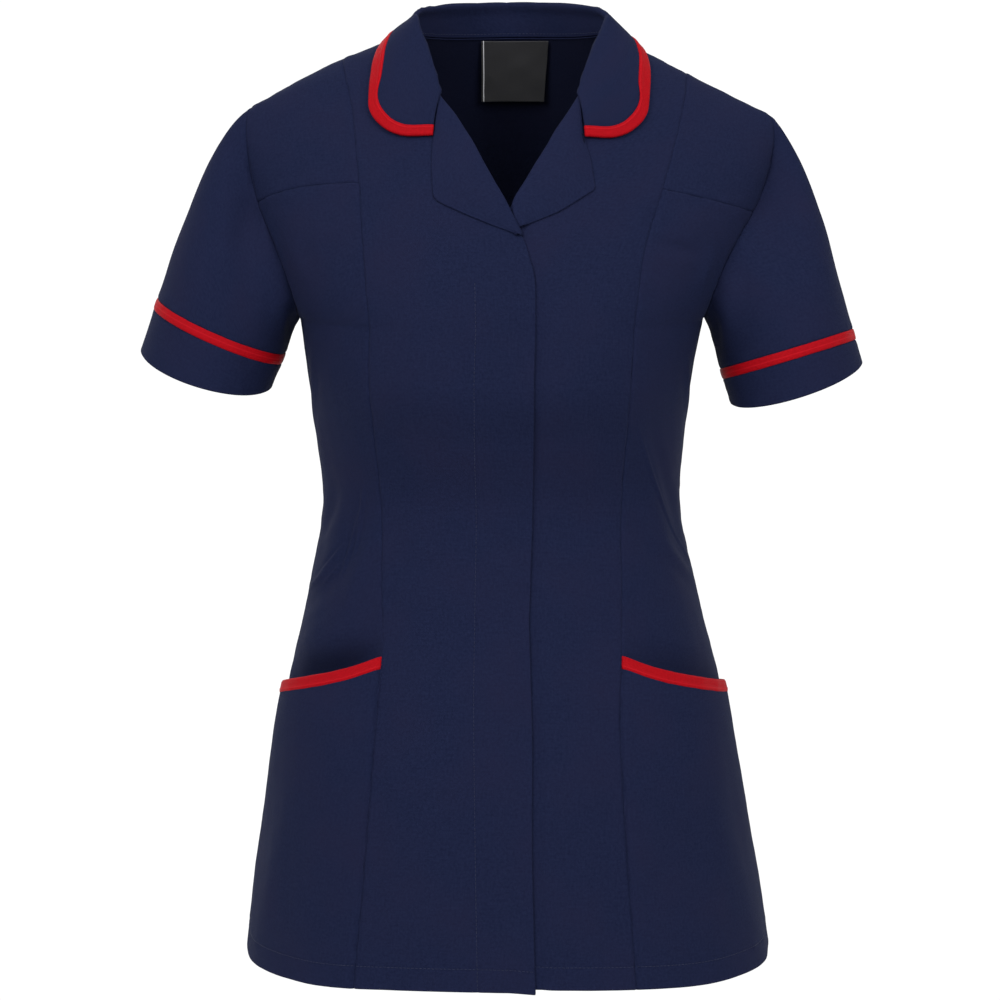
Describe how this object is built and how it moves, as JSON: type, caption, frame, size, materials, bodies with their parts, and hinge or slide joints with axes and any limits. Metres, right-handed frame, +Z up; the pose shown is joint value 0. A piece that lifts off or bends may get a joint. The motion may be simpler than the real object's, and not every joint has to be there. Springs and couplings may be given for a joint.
{
  "type": "work tunic",
  "caption": "Short-sleeved work tunic in its hollow worn form: notched collar and lapels, lapped front, princess seams, contrast trim, and patch pockets set into the seams.",
  "frame": {"origin": "midway between the two sides of the neck, at the height where the shoulder seams meet it: the middle of the shoulder line that holds the tunic up", "axes": "+Z up along the centre front and back to the neck, +Y from front to back, +X to the wearer's left; the right front, at -X, laps over the left"},
  "size_m": [0.5572, 0.288, 0.7414],
  "materials": {
    "navy_cloth": "matt",
    "red_trim": "matt",
    "label_cloth": "satin"
  },
  "bodies": {
    "root": {"back": "navy_cloth", "collar": "navy_cloth", "collar_edging": "red_trim", "cuff_left": "navy_cloth", "cuff_right": "navy_cloth", "front_left": "navy_cloth", "front_right": "navy_cloth", "lapel_left": "navy_cloth", "lapel_right": "navy_cloth", "neck_label": "label_cloth", "pocket_binding_left": "red_trim", "pocket_binding_right": "red_trim", "pocket_left": "navy_cloth", "pocket_right": "navy_cloth", "side_front_left": "navy_cloth", "side_front_right": "navy_cloth", "sleeve_band_left": "red_trim", "sleeve_band_right": "red_trim", "sleeve_left": "navy_cloth", "sleeve_right": "navy_cloth", "upper_front_left": "navy_cloth", "upper_front_right": "navy_cloth"}
  },
  "joints": []
}
